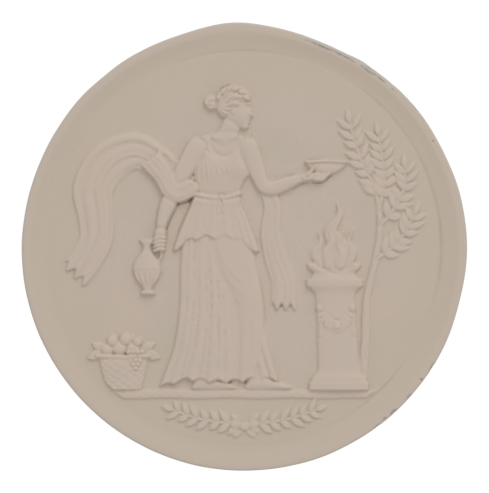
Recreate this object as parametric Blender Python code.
# Porcelain wall plaque: a round disc of unglazed biscuit porcelain, cast in one piece.
# The front has a raised rim around a flat field with a figure scene in low relief.
# The back has a foot ring, which lies flat on the wall, with two cord holes at its top.
# Metres, +Z up. The front faces -Y, and the foot ring's flat face is in the wall plane, Y = 0.
# The origin is on that flat face, at the top of the foot ring, between the cord holes.

import math

import bmesh
import bpy
import numpy as np
from mathutils import Matrix, Vector

# Disc and rim
plaqueDiameter = 0.145
fieldHeight = 0.0066        # the flat field, in front of the wall
rimHeight = 0.0076          # the lip around it, in front of the wall
rimWidth = 0.0089           # outer edge to field
lipWidth = 0.0034           # the flat outermost band of the rim
grooveWidth = 0.0012        # the line cut between field and rim
grooveDepth = 0.0004
edgeRounding = 0.0009
backInset = 0.0016          # how much smaller the disc is at its back
rimSegments = 96

# Foot ring and cord holes on the back
footDiameter = 0.127
footWidth = 0.0048
footDepth = 0.0032          # how far the ring stands out from the disc's back
footDraft = 0.0004          # slope of the ring's sides
cordHoleDiameter = 0.0017
cordHoleSpacing = 0.032

# The outline is cast a little out of round: angle in degrees, width in degrees, outward metres
outlineSwells = [(93, 8.5, 0.00102), (66, 12, -0.00088), (47, 14, -0.00042), (25, 12, -0.00038),
                 (130, 5, -0.00025), (156, 14, -0.00038), (-14, 9, -0.00028)]

# The carved scene
figureHeight = 0.098        # crown of the head to the ground
figureCentre = -0.008       # right of the disc's centre
figureFoot = -0.046         # above the disc's centre
reliefDepth = 0.0025        # highest point of the carving above the field
fieldMargin = 0.0012        # bare field kept between the carving and the groove
edgeSoftness = 0.00045      # half the width of a carved edge
carvingGrid = 240           # cells across the field before it is thinned
carvingTriangles = 6300     # triangles left on the field

biscuitColour = (0.50, 0.42, 0.35, 1.0)
biscuitRoughness = 0.75

# The carving is worked in millimetres
mm = 0.001
tall = figureHeight / mm
softEdge = edgeSoftness / mm

plaqueRadius = plaqueDiameter / 2
fieldRadius = plaqueRadius - rimWidth
footRadius = footDiameter / 2
footMiddle = footRadius - footWidth / 2
discCentre = Vector((0, 0, -footMiddle))


def smoothstep(low, high, value):
    t = np.clip((value - low) / (high - low), 0, 1)
    return t * t * (3 - 2 * t)


def roundOff(t):
    # a quarter round, 0 at the edge and 1 inside
    t = np.clip(t, 0, 1)
    return np.sqrt(1 - (1 - t) ** 2)


def fold(t):
    # the rounded top of one fold, over t from -1 to 1
    return np.sqrt(1 - np.clip(t, -1, 1) ** 2)


def curveThrough(points, closed=False, steps=6):
    # a Catmull-Rom curve through the points
    p = np.array(points, float)
    if closed:
        p = np.vstack([p[-1], p, p[0], p[1]])
    else:
        p = np.vstack([2 * p[0] - p[1], p, 2 * p[-1] - p[-2]])
    a, b, c, d = (p[i:len(p) - 3 + i, None, :] for i in range(4))
    t = (np.arange(steps) / steps)[None, :, None]
    bend = (2 * a - 5 * b + 4 * c - d) * t ** 2 + (3 * b - a - 3 * c + d) * t ** 3
    curve = (0.5 * (2 * b + (c - a) * t + bend)).reshape(-1, 2)
    return curve if closed else np.vstack([curve, p[-2]])


class Slab:
    # the carved surface: heights above the field at points of the disc, in millimetres

    def __init__(self, x, y):
        self.x = x
        self.y = y
        self.z = np.zeros_like(x)

    def near(self, line, margin):
        low = line.min(0) - margin
        high = line.max(0) + margin
        inX = (self.x > low[0]) & (self.x < high[0])
        inY = (self.y > low[1]) & (self.y < high[1])
        return np.nonzero(inX & inY)[0]


def insideOutline(x, y, outline):
    # distance inside a closed outline, negative outside it
    nearest = np.full(x.shape, 1e9)
    inside = np.zeros(x.shape, bool)
    for (ax, ay), (bx, by) in zip(outline, np.roll(outline, -1, 0)):
        dx, dy = bx - ax, by - ay
        t = np.clip(((x - ax) * dx + (y - ay) * dy) / max(dx * dx + dy * dy, 1e-9), 0, 1)
        nearest = np.minimum(nearest, (x - ax - t * dx) ** 2 + (y - ay - t * dy) ** 2)
        if ay != by:
            inside ^= ((ay > y) != (by > y)) & (x < (bx - ax) * (y - ay) / (by - ay) + ax)
    return np.where(inside, 1, -1) * np.sqrt(nearest)


def alongLine(x, y, line):
    # distance from a line, which side of it, and the share of its length passed
    nearest = np.full(x.shape, 1e9)
    side = np.zeros(x.shape)
    share = np.zeros(x.shape)
    lengths = np.hypot(*(line[1:] - line[:-1]).T)
    passed = 0.0
    for (ax, ay), (bx, by), length in zip(line[:-1], line[1:], lengths):
        dx, dy = (bx - ax) / length, (by - ay) / length
        t = np.clip((x - ax) * dx + (y - ay) * dy, 0, length)
        ex, ey = x - ax - t * dx, y - ay - t * dy
        away = ex * ex + ey * ey
        closer = away < nearest
        nearest = np.where(closer, away, nearest)
        side = np.where(closer, dx * ey - dy * ex, side)
        share = np.where(closer, (passed + t) / lengths.sum(), share)
        passed += length
    return np.sqrt(nearest), side, share


def spread(line, values, share):
    # values given at the line's own points, read at a share of its length
    lengths = np.hypot(*(line[1:] - line[:-1]).T)
    reached = np.concatenate([[0], np.cumsum(lengths)]) / lengths.sum()
    every = (len(line) - 1) // (len(values) - 1)
    return np.interp(share, reached[::every], values)


def layOver(slab, ids, inside, height, groove=0.22, grooveReach=0.8, soft=softEdge):
    # lays a form over what is there, with a soft edge and a shallow groove beside it
    edge = smoothstep(-soft, soft, inside)
    under = slab.z[ids]
    beside = np.exp(-(np.minimum(inside, 0) / grooveReach) ** 2)
    under = under - groove * beside * smoothstep(0.2, 0.9, under)
    slab.z[ids] = under * (1 - edge) + height * edge


def lean(fy):
    # how far the standing body leans aside at a share of its height
    hips = -0.016 * np.sin(np.clip(fy, 0, 1) * np.pi * 1.12) ** 2
    return hips + 0.016 * smoothstep(0.55, 0.95, fy)


def place(points):
    # points in shares of the figure's height, from between her feet
    p = np.array(points, float)
    p = p + np.column_stack([lean(p[:, 1]), np.zeros(len(p))])
    return p * tall + np.array([figureCentre, figureFoot]) / mm


def fromCentre(points):
    # points in shares of the figure's height, from the disc's centre
    return np.array(points, float) * tall


def shares(slab, x0, x1, y0, y1):
    # the slab's points within a box, in shares of the figure's height
    fy = (slab.y - figureFoot / mm) / tall
    fx = (slab.x - figureCentre / mm) / tall - lean(fy)
    ids = np.nonzero((fx > x0) & (fx < x1) & (fy > y0) & (fy < y1))[0]
    return ids, fx[ids], fy[ids]


def contour(fy, heights, widths):
    curve = curveThrough(np.column_stack([heights, widths]), steps=10)
    return np.interp(fy, curve[:, 0], curve[:, 1])


def layOutline(slab, outline, base, crown, roundWidth, **look):
    # a form with a closed outline, rounded off over a width
    line = curveThrough(outline, closed=True)
    ids = slab.near(line, 2)
    d = insideOutline(slab.x[ids], slab.y[ids], line)
    layOver(slab, ids, d, base + crown * roundOff(d / roundWidth), **look)


def layLimb(slab, points, radii, base, crown, **look):
    # a rounded limb or stem, with a radius at each of its points
    line = curveThrough(points, steps=8)
    ids = slab.near(line, max(radii) * tall + 2)
    d, _, share = alongLine(slab.x[ids], slab.y[ids], line)
    r = spread(line, radii, share) * tall
    layOver(slab, ids, r - d, base + crown * fold(d / r), **look)


def layTurned(slab, cx, profile, base, depth):
    # a thing turned on an upright axis, with (height, radius) rows from foot to top
    heights = [row[0] for row in profile]
    radii = [row[1] for row in profile]
    reach = max(radii) + 0.02
    ids, fx, fy = shares(slab, cx - reach, cx + reach, heights[0] - 0.02, heights[-1] + 0.02)
    r = np.interp(fy, heights, radii)
    d = np.minimum(r - np.abs(fx - cx), np.minimum(fy - heights[0], heights[-1] - fy)) * tall
    z = base + depth * (r / max(radii)) ** 0.6 * fold((fx - cx) / r)
    layOver(slab, ids, d, z)


def layCloth(slab, points, widths, base, crown, folds, foldHeight, teeth=0.0):
    # a band of cloth with folds running along it, and points of this length at its end
    line = curveThrough(points, steps=9)
    ids = slab.near(line, max(widths) * tall + 2)
    x, y = slab.x[ids], slab.y[ids]
    d, side, share = alongLine(x, y, line)
    w = spread(line, widths, share) * tall
    u = side / w
    h = np.zeros_like(u)
    for i in range(folds):
        middle = (2 * i + 1) / folds - 1 + 0.10 * np.sin(share * (6 + 1.3 * i) + i * 2.4)
        crest = foldHeight * (0.85 + 0.35 * np.sin(share * 5 + i * 1.9))
        h = np.maximum(h, crest * fold((u - middle) * folds / 1.15))
    ahead = (line[-1] - line[-3]) / np.hypot(*(line[-1] - line[-3]))
    beyond = (x - line[-1][0]) * ahead[0] + (y - line[-1][1]) * ahead[1]
    length = np.hypot(*(line[1:] - line[:-1]).T).sum()
    toEnd = np.where(share > 0.9999, -np.maximum(beyond, 0), (1 - share) * length)
    saw = np.abs(((u * 1.5 + 0.25) % 1) * 2 - 1)
    inside = np.minimum(w - d, (toEnd - smoothstep(0, 1, saw) * teeth * tall) * 0.75)
    layOver(slab, ids, inside, base + crown * fold(u) + h)


def layLeaf(slab, root, angle, length, halfWidth, base, crown):
    ahead = np.array([math.cos(angle), math.sin(angle)])
    across = np.array([-ahead[1], ahead[0]])
    side = [(0.0, 0.15), (0.2, 0.72), (0.45, 1.0), (0.7, 0.78), (0.9, 0.30)]
    left = [root + ahead * length * t + across * halfWidth * w for t, w in side]
    right = [root + ahead * length * t - across * halfWidth * w for t, w in reversed(side)]
    outline = left + [root + ahead * length] + right
    layOutline(slab, outline, base, crown, halfWidth * 0.9, groove=0.12, grooveReach=0.5)


def layTwig(slab, points, thickness, leaves, leafLength, leafWidth):
    # a twig with leaves in pairs and one at its tip, sizes in millimetres
    layLimb(slab, points, [thickness / tall] * len(points), 0.4, 0.55, groove=0.1)
    line = curveThrough(points, steps=8)
    for k in range(leaves):
        i = int((0.2 + 0.77 * k / (leaves - 1)) * (len(line) - 2))
        heading = math.atan2(*(line[i + 1] - line[i])[::-1])
        for turn in (-0.77, 0.77):
            layLeaf(slab, line[i], heading + turn, leafLength, leafWidth, 0.42, 0.68)
    layLeaf(slab, line[-1], heading, leafLength * 0.95, leafWidth, 0.45, 0.68)


def carveLedge(slab):
    # the strip of ground that everything stands on
    top = figureFoot / mm + 0.35 * np.sin(slab.x * 0.23 + 1)
    thick = 0.031 * tall
    d = np.minimum(top - slab.y, slab.y - (figureFoot / mm - thick))
    ends = smoothstep(0.475 * tall, 0.42 * tall, np.abs(slab.x))
    ids = np.nonzero((d > -1.5) & (ends > 0))[0]
    layOver(slab, ids, d[ids], (0.55 + 0.5 * roundOff(d[ids] / 1.5)) * ends[ids], groove=0)


def carveSprigs(slab):
    # two crossed sprigs under the ledge, tied with a bow
    for half in (-1, 1):
        stem = fromCentre([(half * -0.031, -0.594), (half * 0.061, -0.582), (half * 0.153, -0.567),
                           (half * 0.235, -0.539)])
        layTwig(slab, stem, 0.6, 7, 4.9, 1.15)
        bow = fromCentre([(0, -0.592), (half * 0.025, -0.573), (half * 0.047, -0.578),
                          (half * 0.041, -0.597), (half * 0.012, -0.598)])
        layOutline(slab, bow, 0.5, 0.55, 0.8)


def carveScarf(slab):
    # the scarf's long end blown out behind her, and its short end hanging in front
    longEnd = [(-0.06, 0.715), (-0.13, 0.715), (-0.205, 0.755), (-0.290, 0.790), (-0.372, 0.755),
               (-0.415, 0.670), (-0.400, 0.580), (-0.395, 0.500), (-0.430, 0.425), (-0.475, 0.375)]
    layCloth(slab, place(longEnd), [0.026, 0.032, 0.048, 0.062, 0.070, 0.068, 0.060, 0.056, 0.054, 0.054],
             0.55, 0.50, 6, 0.55, teeth=0.026)
    shortEnd = [(0.11, 0.72), (0.160, 0.665), (0.186, 0.600), (0.184, 0.520), (0.200, 0.440),
                (0.226, 0.350), (0.222, 0.262)]
    layCloth(slab, place(shortEnd), [0.02, 0.026, 0.030, 0.034, 0.037, 0.041, 0.045], 0.50, 0.45, 4, 0.50,
             teeth=0.024)


def carveBasket(slab):
    # a wicker basket of fruit standing behind her
    cx = -0.318
    rim = 0.112
    for dx, degrees in ((-0.051, 150), (-0.064, 200), (0.053, 30), (0.066, -20)):
        root = place([(cx + dx, rim + 0.012)])[0]
        layLeaf(slab, root, math.radians(degrees), 0.062 * tall, 0.017 * tall, 0.8, 0.7)
    layTurned(slab, cx, [(-0.002, 0.058), (0.03, 0.066), (0.07, 0.076), (rim, 0.084)], 0.8, 1.35)
    for dx, dy, r in ((-0.052, 0.020, 0.021), (-0.012, 0.026, 0.025), (0.034, 0.024, 0.022),
                      (-0.034, 0.050, 0.019), (0.010, 0.055, 0.021), (0.050, 0.047, 0.016)):
        layLimb(slab, place([(cx + dx, rim + dy), (cx + dx + 0.001, rim + dy)]), [r, r], 0.9, 1.25)
    grapes = [(cx + 0.018, rim + 0.018), (cx + 0.062, rim + 0.018), (cx + 0.052, rim - 0.020),
              (cx + 0.040, rim - 0.052), (cx + 0.028, rim - 0.020)]
    layOutline(slab, place(grapes), 1.8, 0.8, 1.6)


def carveTree(slab):
    # a small laurel tree growing behind the altar
    trunk = [(0.470, 0.02), (0.488, 0.16), (0.500, 0.30), (0.530, 0.42), (0.545, 0.52), (0.540, 0.60)]
    layLimb(slab, place(trunk), [0.019, 0.016, 0.014, 0.0125, 0.011, 0.009], 0.45, 0.95)
    branches = [([(0.540, 0.59), (0.520, 0.665), (0.478, 0.735), (0.440, 0.810), (0.418, 0.880)], 8),
                ([(0.540, 0.60), (0.548, 0.680), (0.535, 0.760), (0.515, 0.840)], 7),
                ([(0.545, 0.54), (0.590, 0.600), (0.618, 0.670), (0.612, 0.730)], 6),
                ([(0.534, 0.43), (0.585, 0.470), (0.630, 0.520), (0.655, 0.575)], 6)]
    for points, leaves in branches:
        layTwig(slab, place(points), 0.6, leaves, 5.6, 1.25)


def carveAltar(slab):
    # a round altar with a burning fire
    cx = 0.395
    profile = [(-0.003, 0.100), (0.024, 0.100), (0.026, 0.094), (0.040, 0.090), (0.052, 0.078),
               (0.070, 0.069), (0.318, 0.066), (0.330, 0.076), (0.340, 0.088), (0.344, 0.094),
               (0.366, 0.094), (0.370, 0.080), (0.388, 0.070), (0.402, 0.086), (0.414, 0.090),
               (0.420, 0.086)]
    layTurned(slab, cx, profile, 0.7, 1.9)
    swag = [(cx - 0.058, 0.268), (cx - 0.032, 0.226), (cx, 0.208), (cx + 0.032, 0.226), (cx + 0.058, 0.268)]
    layLimb(slab, place(swag), [0.008, 0.013, 0.019, 0.013, 0.008], 1.9, 0.7)
    tongues = [([(-0.040, 0.418), (-0.060, 0.452), (-0.044, 0.490), (-0.052, 0.525)],
                [0.020, 0.020, 0.011, 0.001]),
               ([(0.040, 0.418), (0.058, 0.455), (0.046, 0.492), (0.062, 0.530)],
                [0.020, 0.020, 0.011, 0.001]),
               ([(0, 0.418), (0.014, 0.470), (-0.012, 0.525), (0.014, 0.580), (0.004, 0.620)],
                [0.036, 0.034, 0.023, 0.012, 0.001]),
               ([(-0.018, 0.415), (-0.024, 0.455), (-0.008, 0.492), (-0.022, 0.540)],
                [0.018, 0.017, 0.010, 0.001]),
               ([(0.020, 0.415), (0.028, 0.450), (0.014, 0.480), (0.030, 0.520)],
                [0.018, 0.017, 0.010, 0.001])]
    for i, (points, radii) in enumerate(tongues):
        layLimb(slab, place([(cx + dx, fy) for dx, fy in points]), radii, 0.5 + 0.2 * i, 0.8, groove=0.15)


def carveFeet(slab):
    front = [(0.095, 0.0), (0.090, 0.022), (0.11, 0.050), (0.145, 0.047), (0.175, 0.030), (0.212, 0.020),
             (0.232, 0.011), (0.228, 0.001)]
    back = [(-0.085, 0.0), (-0.088, 0.02), (-0.07, 0.048), (-0.035, 0.045), (0.0, 0.030), (0.035, 0.020),
            (0.054, 0.011), (0.050, 0.001)]
    layOutline(slab, place(front), 0.9, 0.9, 2.0)
    layOutline(slab, place(back), 0.8, 0.8, 2.0)


def carveSkirt(slab):
    # the long dress: folds over the standing leg, and the bent leg pressing through the cloth
    heights = [0.00, 0.06, 0.14, 0.22, 0.30, 0.42, 0.50, 0.56, 0.62]
    ids, fx, fy = shares(slab, -0.27, 0.28, -0.03, 0.66)
    left = contour(fy, heights, [-0.205, -0.180, -0.150, -0.132, -0.121, -0.116, -0.108, -0.090, -0.072])
    right = contour(fy, heights, [0.205, 0.186, 0.168, 0.158, 0.156, 0.138, 0.118, 0.092, 0.068])
    u = (fx - left) / (right - left)
    low = 1 - smoothstep(0.02, 0.52, fy)
    hem = 0.024 + 0.012 * np.abs(np.sin(np.pi * (u * 7 + 0.15))) - 0.020 * smoothstep(0.25, 0, u)
    d = np.minimum(np.minimum(fx - left, right - fx), fy - hem) * tall
    h = np.zeros_like(u)
    # share across at the top and at the hem, half width, height
    hanging = [(0.055, 0.030, 0.050, 0.75), (0.135, 0.112, 0.047, 1.0), (0.215, 0.180, 0.040, 0.62),
               (0.285, 0.262, 0.052, 1.05), (0.360, 0.342, 0.038, 0.70), (0.425, 0.425, 0.050, 1.10),
               (0.490, 0.505, 0.036, 0.72), (0.530, 0.575, 0.030, 0.5)]
    for i, (top, foot, width, height) in enumerate(hanging):
        middle = foot + (top - foot) * smoothstep(0, 0.5, fy) + 0.010 * np.sin(fy * 11 + i * 1.7) * low
        h = np.maximum(h, height * (0.30 + 0.62 * low) * fold((u - middle) / (width * (0.72 + 0.42 * low))))
    for kneeEnd, hemEnd, start, width, height in ((0.90, 0.985, 0.31, 0.045, 0.9),
                                                  (0.84, 0.895, 0.25, 0.036, 0.7)):
        middle = kneeEnd + (hemEnd - kneeEnd) * smoothstep(0.33, 0, fy)
        h = np.maximum(h, height * smoothstep(start, start - 0.17, fy) * fold((u - middle) / width))
    cloth = 0.75 + 1.05 * fold(2 * u - 1) + h
    bentLeg = curveThrough(place([(0.035, 0.54), (0.070, 0.42), (0.108, 0.31), (0.112, 0.20),
                                  (0.098, 0.10), (0.085, 0.02)]), steps=8)
    away, _, share = alongLine(slab.x[ids], slab.y[ids], bentLeg)
    t = away / (spread(bentLeg, [0.072, 0.066, 0.049, 0.043, 0.032, 0.027], share) * tall)
    knee = 0.28 * np.exp(-((fx - 0.120) / 0.035) ** 2 - ((fy - 0.305) / 0.04) ** 2)
    leg = 1.30 + 1.30 * fold(t) + knee
    showing = smoothstep(1.06, 0.80, t)
    cloth = np.maximum(cloth - 0.45 * smoothstep(1.35, 0.9, t), leg * showing + cloth * (1 - showing))
    layOver(slab, ids, d, cloth)


def carveOverfold(slab):
    # the dress's folded-over upper layer, hanging from the belt to the hips
    heights = [0.42, 0.46, 0.50, 0.56, 0.61, 0.650]
    ids, fx, fy = shares(slab, -0.22, 0.22, 0.38, 0.68)
    left = contour(fy, heights, [-0.150, -0.140, -0.128, -0.106, -0.087, -0.078])
    right = contour(fy, heights, [0.160, 0.148, 0.134, 0.110, 0.084, 0.072])
    u = (fx - left) / (right - left)
    low = smoothstep(0.63, 0.47, fy)
    saw = np.abs(((u * 4.5 + 0.30 + 0.05 * np.sin(u * 7)) % 1) * 2 - 1)
    corners = 0.030 * smoothstep(0.22, 0, u) + 0.038 * smoothstep(0.72, 1, u)
    hem = 0.486 + 0.016 * saw - corners + 0.012 * np.sin(u * np.pi)
    d = np.minimum(np.minimum(fx - left, right - fx), np.minimum(fy - hem, 0.645 - fy)) * tall
    h = np.zeros_like(u)
    folds = 10
    for i in range(folds):
        middle = (i + 0.5) / folds + 0.012 * np.sin(fy * 30 + i * 2.3)
        height = 0.65 + 0.35 * (i % 2)
        halfWidth = (0.84 + 0.48 * low) / folds
        h = np.maximum(h, height * (0.14 + 0.42 * low) * fold((u - middle) / halfWidth))
    layOver(slab, ids, d, 1.45 + 0.95 * fold(2 * u - 1) + h)


def carveBodice(slab):
    outline = [(-0.050, 0.842), (-0.082, 0.834), (-0.100, 0.808), (-0.098, 0.765), (-0.088, 0.725),
               (-0.080, 0.685), (-0.072, 0.645), (-0.02, 0.632), (0.03, 0.632), (0.068, 0.645),
               (0.080, 0.685), (0.098, 0.715), (0.106, 0.745), (0.099, 0.785), (0.096, 0.812),
               (0.080, 0.834), (0.052, 0.842), (0.036, 0.826), (0.014, 0.804), (-0.012, 0.810),
               (-0.036, 0.830)]
    layOutline(slab, place(outline), 1.35, 0.95, 5.0)
    ids, fx, fy = shares(slab, -0.12, 0.13, 0.62, 0.82)
    for cx, cy in ((-0.034, 0.726), (0.062, 0.728)):
        slab.z[ids] += 0.70 * np.exp(-1.25 * (((fx - cx) / 0.044) ** 2 + ((fy - cy) / 0.042) ** 2))
    belt = [(-0.075, 0.648), (-0.02, 0.637), (0.03, 0.637), (0.072, 0.650)]
    layLimb(slab, place(belt), [0.0075] * 4, 2.1, 0.6)


# Her head is laid out in shares of its own height, from below the jaw, and turned down a little
headHeight = 0.136
headSpot = (0.030, 0.866)
headTilt = math.radians(-7)


def onHead(points):
    c, s = math.cos(headTilt), math.sin(headTilt)
    turned = [(u * c - (v - 0.3) * s, 0.3 + u * s + (v - 0.3) * c) for u, v in points]
    return place([(headSpot[0] + u * headHeight, headSpot[1] + v * headHeight) for u, v in turned])


def carveHead(slab):
    layLimb(slab, place([(0.030, 0.895), (0.018, 0.858), (0.002, 0.815)]), [0.031, 0.032, 0.044], 0.95, 1.1)
    face = [(0.10, 0.985), (0.28, 0.90), (0.365, 0.76), (0.392, 0.64), (0.392, 0.585), (0.432, 0.48),
            (0.487, 0.375), (0.470, 0.335), (0.418, 0.318), (0.440, 0.268), (0.412, 0.238),
            (0.432, 0.195), (0.398, 0.150), (0.415, 0.085), (0.375, 0.025), (0.28, 0.005), (0.14, 0.06),
            (0.0, 0.15), (-0.12, 0.20), (-0.26, 0.28), (-0.38, 0.42), (-0.43, 0.60), (-0.38, 0.80),
            (-0.25, 0.94), (-0.08, 1.0)]
    layOutline(slab, onHead(face), 1.15, 1.3, 3.6)
    hair = [(0.362, 0.78), (0.27, 0.70), (0.17, 0.62), (0.07, 0.53), (-0.02, 0.49), (-0.09, 0.41),
            (-0.13, 0.30), (-0.24, 0.24), (-0.34, 0.30), (-0.45, 0.42), (-0.49, 0.60), (-0.44, 0.82),
            (-0.29, 0.98), (-0.09, 1.05), (0.12, 1.03), (0.29, 0.93)]
    layOutline(slab, onHead(hair), 1.55, 1.35, 3.4, groove=0.3)
    bun = [(-0.45, 0.70), (-0.58, 0.74), (-0.72, 0.67), (-0.76, 0.53), (-0.68, 0.41), (-0.54, 0.38),
           (-0.44, 0.44)]
    layOutline(slab, onHead(bun), 1.3, 1.0, 1.8)


def carveFrontArm(slab):
    # the arm held out, with a shallow bowl on the hand
    arm = [(0.086, 0.802), (0.108, 0.755), (0.132, 0.705), (0.152, 0.674), (0.182, 0.668), (0.222, 0.682),
           (0.262, 0.698), (0.286, 0.705)]
    layLimb(slab, place(arm), [0.033, 0.0315, 0.0265, 0.0245, 0.0250, 0.0235, 0.0165, 0.0135], 1.2, 1.45)
    bowl = [(0.286, 0.752), (0.300, 0.728), (0.322, 0.716), (0.350, 0.712), (0.378, 0.716),
            (0.400, 0.728), (0.414, 0.752), (0.350, 0.757)]
    layOutline(slab, place(bowl), 1.2, 1.0, 3.0)
    hand = [(0.282, 0.704), (0.302, 0.706), (0.324, 0.705), (0.356, 0.708)]
    layLimb(slab, place(hand), [0.0145, 0.0155, 0.0125, 0.006], 1.5, 1.2)


def carveBackArm(slab):
    # the lowered arm, with the scarf over its elbow and a jug in the hand
    arm = [(-0.088, 0.802), (-0.108, 0.755), (-0.130, 0.705), (-0.148, 0.655), (-0.163, 0.610),
           (-0.176, 0.565), (-0.182, 0.525)]
    layLimb(slab, place(arm), [0.034, 0.033, 0.029, 0.0265, 0.0265, 0.0205, 0.0145], 1.5, 1.5)
    overElbow = [(-0.098, 0.665), (-0.130, 0.650), (-0.160, 0.665), (-0.190, 0.715), (-0.235, 0.765)]
    layCloth(slab, place(overElbow), [0.030, 0.030, 0.030, 0.034, 0.040], 2.1, 0.9, 4, 0.4)
    handle = [(-0.214, 0.488), (-0.196, 0.494), (-0.180, 0.474), (-0.178, 0.444), (-0.190, 0.418)]
    layLimb(slab, place(handle), [0.006] * 5, 1.2, 0.8)
    jug = [(0.314, 0.024), (0.322, 0.025), (0.331, 0.014), (0.342, 0.018), (0.368, 0.039), (0.395, 0.048),
           (0.420, 0.044), (0.445, 0.027), (0.462, 0.014), (0.478, 0.013), (0.490, 0.022), (0.498, 0.027)]
    layTurned(slab, -0.226, jug, 1.3, 1.7)
    hand = [(-0.198, 0.532), (-0.203, 0.508), (-0.203, 0.478), (-0.193, 0.462), (-0.176, 0.456),
            (-0.165, 0.468), (-0.163, 0.500), (-0.167, 0.532)]
    layOutline(slab, place(hand), 2.0, 1.2, 1.4)


def carveScene(slab):
    # from the back of the picture to its front
    for carve in (carveLedge, carveSprigs, carveScarf, carveBasket, carveTree, carveAltar, carveFeet,
                  carveSkirt,
                  carveOverfold, carveBodice, carveHead, carveFrontArm, carveBackArm):
        carve(slab)


def onDisc(angle, radius, height):
    # a point of the plaque from its angle in the front view, its radius and its height off the wall
    return discCentre + Vector((radius * math.cos(angle), -height, radius * math.sin(angle)))


def squareToDisc(a, b):
    # carries a square of -1 to 1 onto a disc, so that the square's rings become circles
    ring = max(abs(a), abs(b))
    if ring == 0:
        return 0.0, 0.0
    if abs(a) >= abs(b):
        angle = math.pi / 4 * b / a + (math.pi if a < 0 else 0)
    else:
        angle = math.pi / 2 - math.pi / 4 * a / b + (math.pi if b < 0 else 0)
    return ring, angle


def outlineSwell(angle):
    swell = 0.0
    for middle, width, outward in outlineSwells:
        away = (math.degrees(angle) - middle + 180) % 360 - 180
        swell += outward * math.exp(-(away / width) ** 2)
    return swell


def makeField():
    # the flat field with the carving, as an open sheet with rimSegments points around it
    bm = bmesh.new()
    bmesh.ops.create_grid(bm, x_segments=carvingGrid, y_segments=carvingGrid, size=1)
    polar = [squareToDisc(v.co.x, v.co.y) for v in bm.verts]
    ring = np.array([p[0] for p in polar])
    angle = np.array([p[1] for p in polar])
    radius = ring * fieldRadius
    slab = Slab(radius * np.cos(angle) / mm, radius * np.sin(angle) / mm)
    carveScene(slab)
    slab.z *= smoothstep(fieldRadius, fieldRadius - fieldMargin, radius) * reliefDepth / mm / slab.z.max()
    for v, a, r, z in zip(bm.verts, angle, radius, slab.z):
        v.co = onDisc(a, r, fieldHeight + z * mm)
    # the sheet's edge keeps only the points that the rim has too
    perSegment = 4 * carvingGrid // rimSegments
    step = 2 * math.pi / rimSegments
    edgePoints = [v for v in bm.verts if v.is_boundary]
    turns = angle / step
    offRim = np.abs(turns - np.round(turns)) > 0.5 / perSegment
    between = [v for v in edgePoints if offRim[v.index]]
    bmesh.ops.dissolve_verts(bm, verts=between)
    bmesh.ops.triangulate(bm, faces=bm.faces)
    return bm


def thinField(bm):
    # thins the sheet where it is plain, and leaves the points on its edge where they are
    mesh = bpy.data.meshes.new("field")
    bm.verts.index_update()
    edge = [v.index for v in bm.verts if v.is_boundary]
    triangles = len(bm.faces)
    bm.to_mesh(mesh)
    bm.free()
    sheet = bpy.data.objects.new("field", mesh)
    bpy.context.scene.collection.objects.link(sheet)
    kept = sheet.vertex_groups.new(name="edge")
    kept.add(edge, 1.0, "REPLACE")
    thin = sheet.modifiers.new("thin", "DECIMATE")
    thin.ratio = carvingTriangles / triangles
    thin.vertex_group = kept.name
    thin.invert_vertex_group = True
    thin.vertex_group_factor = 1.0
    bpy.context.view_layer.update()
    thinned = bpy.data.meshes.new_from_object(sheet.evaluated_get(bpy.context.evaluated_depsgraph_get()))
    bpy.data.objects.remove(sheet)
    return thinned


def rimProfile():
    # (radius, height off the wall) from the field over the rim and down to the back's centre
    lipInside = plaqueRadius - lipWidth
    slopeFoot = fieldRadius + grooveWidth
    slopeMiddle = (slopeFoot + lipInside) / 2
    rise = rimHeight - fieldHeight
    backRadius = plaqueRadius - backInset
    profile = [(fieldRadius, fieldHeight),
               (fieldRadius + grooveWidth * 0.4, fieldHeight - grooveDepth),
               (slopeFoot, fieldHeight),
               (slopeMiddle, fieldHeight + rise * 0.40),
               (lipInside, rimHeight)]
    for degrees in (0, 30, 60, 90):
        a = math.radians(degrees)
        inward = edgeRounding * (1 - math.sin(a))
        profile.append((plaqueRadius - inward, rimHeight - edgeRounding * (1 - math.cos(a))))
    for degrees in (0, 45, 90):
        a = math.radians(degrees)
        inward = edgeRounding * (1 - math.cos(a))
        profile.append((backRadius - inward, footDepth + edgeRounding * (1 - math.sin(a))))
    profile += [(footRadius, footDepth),
                (footRadius - footDraft, 0),
                (footRadius - footWidth + footDraft, 0),
                (footRadius - footWidth, footDepth)]
    return profile


def makeRimAndBack(bm):
    # the rim, edge, foot ring and back, turned about the disc's axis
    start = len(bm.verts)
    points = [bm.verts.new(onDisc(0, radius, height)) for radius, height in rimProfile()]
    line = [bm.edges.new(pair) for pair in zip(points[:-1], points[1:])]
    bmesh.ops.spin(bm, geom=points + line, cent=discCentre, axis=(0, -1, 0), angle=2 * math.pi,
                   steps=rimSegments, use_merge=True, use_duplicate=False)
    bm.verts.ensure_lookup_table()
    for v in bm.verts[start:]:
        fromAxis = v.co - discCentre
        radius = math.hypot(fromAxis.x, fromAxis.z)
        share = float(smoothstep(fieldRadius, plaqueRadius - edgeRounding, radius))
        outward = Vector((fromAxis.x, 0, fromAxis.z)) / radius
        v.co += outward * outlineSwell(math.atan2(fromAxis.z, fromAxis.x)) * share
    behindField = -(fieldHeight + footDepth) / 2
    backEdge = [e for e in bm.edges if e.is_boundary and e.verts[0].co.y > behindField]
    bmesh.ops.edgeloop_fill(bm, edges=backEdge)


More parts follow.
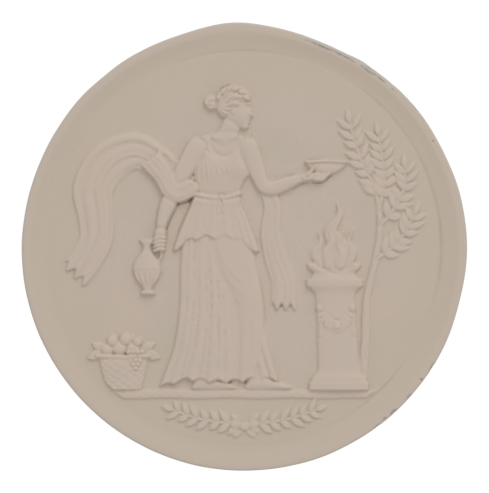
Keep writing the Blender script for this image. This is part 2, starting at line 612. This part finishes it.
def makePlaque(material):
    bm = bmesh.new()
    bm.from_mesh(thinField(makeField()))
    makeRimAndBack(bm)
    bmesh.ops.remove_doubles(bm, verts=bm.verts, dist=1e-6)
    bmesh.ops.triangulate(bm, faces=bm.faces)
    bmesh.ops.recalc_face_normals(bm, faces=bm.faces)
    mesh = bpy.data.meshes.new("plaque")
    bm.to_mesh(mesh)
    bm.free()
    mesh.materials.append(material)
    mesh.shade_smooth()
    mesh.set_sharp_from_angle(angle=math.radians(35))
    plaque = bpy.data.objects.new("plaque", mesh)
    bpy.context.scene.collection.objects.link(plaque)
    return plaque


def pierceCordHoles(plaque):
    # two holes through the foot ring, on either side of its top
    turn = math.asin(cordHoleSpacing / 2 / footMiddle)
    for name, angle in (("cord_hole_left", math.pi / 2 + turn), ("cord_hole_right", math.pi / 2 - turn)):
        bm = bmesh.new()
        bmesh.ops.create_cone(bm, cap_ends=True, segments=12, radius1=cordHoleDiameter / 2,
                              radius2=cordHoleDiameter / 2, depth=footWidth * 2)
        spot = onDisc(angle, footMiddle, footDepth / 2)
        toward = (spot - discCentre - Vector((0, spot.y, 0))).normalized()
        turned = toward.to_track_quat("Z", "Y").to_matrix().to_4x4()
        bmesh.ops.transform(bm, matrix=Matrix.Translation(spot) @ turned, verts=bm.verts)
        mesh = bpy.data.meshes.new(name)
        bm.to_mesh(mesh)
        bm.free()
        cutter = bpy.data.objects.new(name, mesh)
        cutter.hide_render = True
        cutter.display_type = "WIRE"
        bpy.context.scene.collection.objects.link(cutter)
        cut = plaque.modifiers.new(name, "BOOLEAN")
        cut.object = cutter
        cut.operation = "DIFFERENCE"


def makeBiscuit():
    material = bpy.data.materials.new("biscuit_porcelain")
    material.use_nodes = True
    shader = material.node_tree.nodes["Principled BSDF"]
    shader.inputs["Base Color"].default_value = biscuitColour
    shader.inputs["Roughness"].default_value = biscuitRoughness
    shader.inputs["Metallic"].default_value = 0.0
    return material


for old in list(bpy.data.objects):
    bpy.data.objects.remove(old)
pierceCordHoles(makePlaque(makeBiscuit()))
